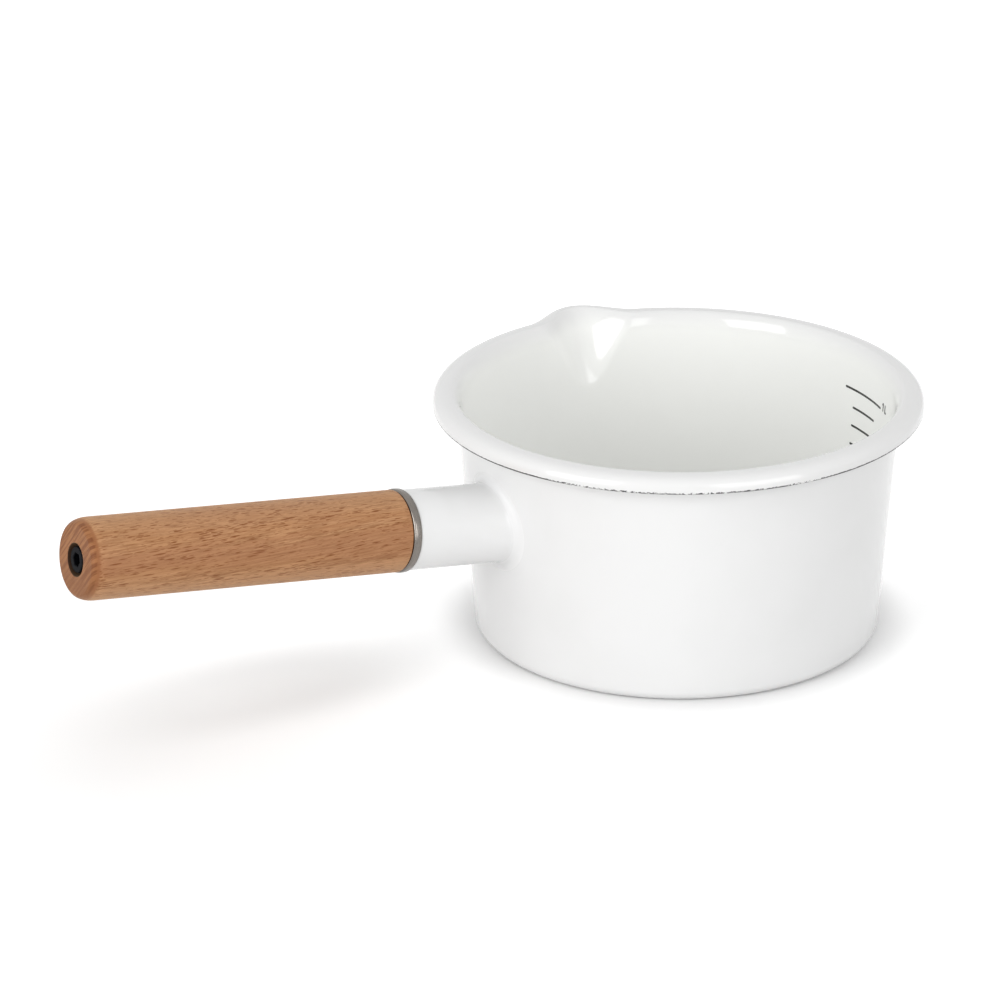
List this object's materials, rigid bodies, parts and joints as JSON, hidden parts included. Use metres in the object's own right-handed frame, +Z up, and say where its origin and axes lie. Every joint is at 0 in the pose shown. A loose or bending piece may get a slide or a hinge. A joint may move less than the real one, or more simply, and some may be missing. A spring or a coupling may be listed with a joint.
{
  "type": "enamel saucepan",
  "caption": "White enamelled steel saucepan with a flared rim, a pressed pouring spout and a straight round beech handle clamped to an enamelled stem by one long hex-socket screw.",
  "frame": {"origin": "centre of the flat base, on the surface that the pan stands on", "axes": "+Z up along the pan's axis, handle along -X rising outwards, pouring spout near +Y"},
  "size_m": [0.3041, 0.1696, 0.0834],
  "materials": {
    "enamel": "glossy white vitreous enamel on steel sheet",
    "beech": "turned, sanded and oiled beech",
    "stainless": "turned stainless steel",
    "plain_steel": "zinc-plated steel",
    "black_steel": "black oxide on steel"
  },
  "bodies": {
    "pan": {"pan_body": "enamel", "handle_stem": "enamel", "threaded_plate": "plain_steel", "steel_ring": "stainless", "wood_grip": "beech"},
    "washer": {"screw_washer": "plain_steel"},
    "screw": {"clamp_screw": "black_steel"}
  },
  "joints": [
    {"name": "screw_draw", "type": "slide", "parent": "pan", "child": "washer", "axis": [-0.9914, 0, 0.1305], "range_m": [0, 0.006]},
    {"name": "screw_turn", "type": "hinge", "parent": "washer", "child": "screw", "pos_m": [0, 0, 0.0415], "axis": [-0.9914, 0, 0.1305], "range_deg": [0, 2700]}
  ],
  "couplings": [
    {"joint": "screw_turn", "follows": "screw_draw", "rad_per_m": 7853.9}
  ]
}
